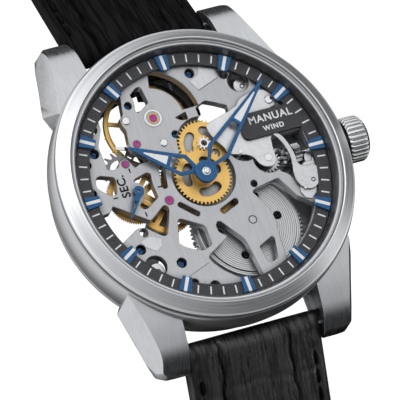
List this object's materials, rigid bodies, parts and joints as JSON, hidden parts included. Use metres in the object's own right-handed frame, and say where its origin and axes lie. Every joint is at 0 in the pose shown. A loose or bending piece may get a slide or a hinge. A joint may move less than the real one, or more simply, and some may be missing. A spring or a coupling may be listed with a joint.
{
  "type": "wristwatch",
  "caption": "Skeleton wristwatch with a hand-wound movement, blue hands, small seconds, a steel case and a black leather strap with a pin buckle.",
  "frame": {"origin": "on the axis of the hour and minute hands, at the flat outer face of the case back", "axes": "+X towards 3 o'clock and the crown, +Y towards 12 o'clock, +Z out of the dial towards the wearer's eye"},
  "size_m": [0.0464, 0.1089, 0.0872],
  "materials": {
    "case_steel": "fine circular and straight brushing",
    "case_back_steel": "satin",
    "sapphire": "clear, polished",
    "gasket_white": "translucent white",
    "gasket_black": "matte",
    "dial_grey": "anthracite, satin",
    "blue_marker": "blue",
    "blue_hand": "blued, satin",
    "plate_steel": "grained, pale rhodium",
    "polished_steel": "polished",
    "keyless_steel": "bright",
    "barrel_steel": "circular grained",
    "gilt_brass": "gilt, satin",
    "blue_spring": "blued",
    "strap_leather": "black, scale embossed",
    "buckle_steel": "polished"
  },
  "bodies": {
    "watch_head": {"case_middle": "case_steel", "bezel": "case_steel", "crystal_gasket": "gasket_white", "front_crystal": "sapphire", "case_back_ring": "case_back_steel", "back_gasket": "gasket_black", "back_crystal": "sapphire", "movement_ring": "case_back_steel", "crown_tube": "case_back_steel", "spring_bar_12": "case_back_steel", "spring_bar_6": "case_back_steel", "dial_ring": "dial_grey", "hour_markers": "blue_marker", "main_plate": "plate_steel", "setting_cover": "polished_steel", "barrel_bridge": "plate_steel", "train_bridge": "plate_steel", "balance_cock": "plate_steel", "pallet_bridge": "plate_steel", "hairspring": "blue_spring", "setting_lever_jumper": "polished_steel", "click_spring": "polished_steel"},
    "strap_12_near": {"strap_12_upper": "strap_leather"},
    "strap_12_far": {"strap_12_lower": "strap_leather", "buckle_bar": "buckle_steel", "fixed_keeper": "strap_leather"},
    "buckle": {"buckle_frame": "buckle_steel"},
    "tongue": {"buckle_tongue": "buckle_steel"},
    "loose_keeper": {"free_keeper": "strap_leather"},
    "strap_6_near": {"strap_6_upper": "strap_leather"},
    "strap_6_far": {"strap_6_lower": "strap_leather"},
    "clutch": {"sliding_pinion": "polished_steel"},
    "crown_and_stem": {"crown": "case_steel", "winding_stem": "polished_steel"},
    "winding": {"winding_pinion": "polished_steel"},
    "crown_gear": {"crown_wheel": "keyless_steel"},
    "ratchet": {"ratchet_wheel": "keyless_steel", "barrel_arbor": "polished_steel"},
    "lever": {"setting_lever": "polished_steel"},
    "yoke_arm": {"yoke": "polished_steel"},
    "minute": {"minute_hand": "blue_hand", "cannon_pinion": "polished_steel"},
    "minute_gear": {"minute_wheel": "gilt_brass"},
    "hour": {"hour_hand": "blue_hand", "hour_wheel": "gilt_brass"},
    "intermediate_gear": {"intermediate_wheel": "keyless_steel"},
    "setting_gear": {"setting_wheel": "keyless_steel"},
    "seconds": {"fourth_wheel": "gilt_brass", "seconds_hand": "blue_hand"},
    "third": {"third_wheel": "gilt_brass"},
    "centre": {"centre_wheel": "gilt_brass"},
    "barrel": {"barrel_drum": "barrel_steel", "barrel_cover": "barrel_steel", "mainspring": "barrel_steel"},
    "escape": {"escape_wheel": "polished_steel"},
    "balance": {"balance_wheel": "gilt_brass"},
    "fork": {"pallet_fork": "polished_steel"},
    "click_arm": {"click": "polished_steel"},
    "regulator_arm": {"regulator": "polished_steel"}
  },
  "joints": [
    {"name": "strap_12_lug", "type": "hinge", "parent": "watch_head", "child": "strap_12_near", "pos_m": [0, 0.0229, 0.0032], "axis": [1, 0, 0], "range_deg": [-20, 30]},
    {"name": "strap_12_flex", "type": "hinge", "parent": "strap_12_near", "child": "strap_12_far", "pos_m": [0, 0.05511, -0.02512], "axis": [-1, 0, 0], "range_deg": [0, 40]},
    {"name": "buckle_hinge", "type": "hinge", "parent": "strap_12_far", "child": "buckle", "pos_m": [0, 0.05621, -0.04709], "axis": [1, 0, 0], "range_deg": [-60, 60]},
    {"name": "tongue_hinge", "type": "hinge", "parent": "buckle", "child": "tongue", "pos_m": [0, 0.05621, -0.04709], "axis": [1, 0, 0], "range_deg": [0, 50]},
    {"name": "keeper_slide", "type": "slide", "parent": "strap_12_far", "child": "loose_keeper", "axis": [0, 0, 1], "range_m": [-0.005, 0.0035]},
    {"name": "strap_6_lug", "type": "hinge", "parent": "watch_head", "child": "strap_6_near", "pos_m": [0, -0.0229, 0.0032], "axis": [-1, 0, 0], "range_deg": [-15, 30]},
    {"name": "strap_6_flex", "type": "hinge", "parent": "strap_6_near", "child": "strap_6_far", "pos_m": [0, -0.04536, -0.024], "axis": [1, 0, 0], "range_deg": [0, 40]},
    {"name": "crown_turn", "type": "hinge", "parent": "watch_head", "child": "clutch", "pos_m": [0.013, 0, 0.0073], "axis": [1, 0, 0], "continuous": true},
    {"name": "crown_pull", "type": "slide", "parent": "clutch", "child": "crown_and_stem", "axis": [1, 0, 0], "range_m": [0, 0.001]},
    {"name": "winding_pinion_turn", "type": "hinge", "parent": "watch_head", "child": "winding", "pos_m": [0.0145, 0, 0.0073], "axis": [1, 0, 0], "continuous": true},
    {"name": "crown_wheel_turn", "type": "hinge", "parent": "watch_head", "child": "crown_gear", "pos_m": [0.0123, 0.0003, 0.003], "axis": [0, 0, 1], "continuous": true},
    {"name": "ratchet_turn", "type": "hinge", "parent": "watch_head", "child": "ratchet", "pos_m": [0.00442, -0.00795, 0.003], "axis": [0, 0, 1], "continuous": true},
    {"name": "setting_lever_turn", "type": "hinge", "parent": "watch_head", "child": "lever", "pos_m": [0.0152, -0.0034, 0.0086], "axis": [0, 0, 1], "range_deg": [0, 8.2]},
    {"name": "yoke_turn", "type": "hinge", "parent": "watch_head", "child": "yoke_arm", "pos_m": [0.0133, -0.0056, 0.0093], "axis": [0, 0, 1], "range_deg": [0, 6.2]},
    {"name": "minute_hand_turn", "type": "hinge", "parent": "watch_head", "child": "minute", "pos_m": [0, 0, 0.01], "axis": [0, 0, -1], "continuous": true},
    {"name": "minute_wheel_turn", "type": "hinge", "parent": "watch_head", "child": "minute_gear", "pos_m": [0.00185, 0.00454, 0.008], "axis": [0, 0, -1], "continuous": true},
    {"name": "hour_hand_turn", "type": "hinge", "parent": "watch_head", "child": "hour", "pos_m": [0, 0, 0.009], "axis": [0, 0, -1], "continuous": true},
    {"name": "intermediate_wheel_turn", "type": "hinge", "parent": "watch_head", "child": "intermediate_gear", "pos_m": [0.00704, 0.00265, 0.008], "axis": [0, 0, -1], "continuous": true},
    {"name": "setting_wheel_turn", "type": "hinge", "parent": "watch_head", "child": "setting_gear", "pos_m": [0.00983, 0.00003, 0.008], "axis": [0, 0, -1], "continuous": true},
    {"name": "seconds_hand_turn", "type": "hinge", "parent": "watch_head", "child": "seconds", "pos_m": [-0.00995, 0, 0.009], "axis": [0, 0, -1], "continuous": true},
    {"name": "third_wheel_turn", "type": "hinge", "parent": "watch_head", "child": "third", "pos_m": [-0.00604, -0.00224, 0.0065], "axis": [0, 0, -1], "continuous": true},
    {"name": "centre_wheel_turn", "type": "hinge", "parent": "watch_head", "child": "centre", "pos_m": [0, 0, 0.007], "axis": [0, 0, -1], "continuous": true},
    {"name": "barrel_turn", "type": "hinge", "parent": "watch_head", "child": "barrel", "pos_m": [0.00442, -0.00795, 0.0055], "axis": [0, 0, -1], "continuous": true},
    {"name": "escape_wheel_turn", "type": "hinge", "parent": "watch_head", "child": "escape", "pos_m": [-0.0102, 0.00437, 0.0065], "axis": [0, 0, -1], "continuous": true},
    {"name": "balance_swing", "type": "hinge", "parent": "watch_head", "child": "balance", "pos_m": [-0.00395, 0.00979, 0.0054], "axis": [0, 0, 1], "range_deg": [-270, 270]},
    {"name": "pallet_fork_rock", "type": "hinge", "parent": "watch_head", "child": "fork", "pos_m": [-0.00755, 0.00675, 0.0069], "axis": [0, 0, 1], "range_deg": [-6, 6]},
    {"name": "click_turn", "type": "hinge", "parent": "watch_head", "child": "click_arm", "pos_m": [-0.0026, -0.0136, 0.003], "axis": [0, 0, 1], "range_deg": [0, 8]},
    {"name": "regulator_turn", "type": "hinge", "parent": "watch_head", "child": "regulator_arm", "pos_m": [-0.00395, 0.00979, 0.0032], "axis": [0, 0, 1], "range_deg": [-10, 10]}
  ],
  "couplings": [
    {"joint": "winding_pinion_turn", "follows": "crown_turn", "ratio": 1},
    {"joint": "crown_wheel_turn", "follows": "crown_turn", "ratio": 0.75},
    {"joint": "ratchet_turn", "follows": "crown_turn", "ratio": -0.46875},
    {"joint": "setting_lever_turn", "follows": "crown_pull", "rad_per_m": 139.63},
    {"joint": "yoke_turn", "follows": "crown_pull", "rad_per_m": 104.72},
    {"joint": "minute_wheel_turn", "follows": "minute_hand_turn", "ratio": -0.375},
    {"joint": "hour_hand_turn", "follows": "minute_hand_turn", "ratio": 0.083333},
    {"joint": "intermediate_wheel_turn", "follows": "minute_hand_turn", "ratio": 0.68182},
    {"joint": "setting_wheel_turn", "follows": "minute_hand_turn", "ratio": -0.71429},
    {"joint": "third_wheel_turn", "follows": "seconds_hand_turn", "ratio": -0.13333},
    {"joint": "centre_wheel_turn", "follows": "seconds_hand_turn", "ratio": 0.016667},
    {"joint": "barrel_turn", "follows": "seconds_hand_turn", "ratio": -0.002381},
    {"joint": "escape_wheel_turn", "follows": "seconds_hand_turn", "ratio": -10}
  ]
}
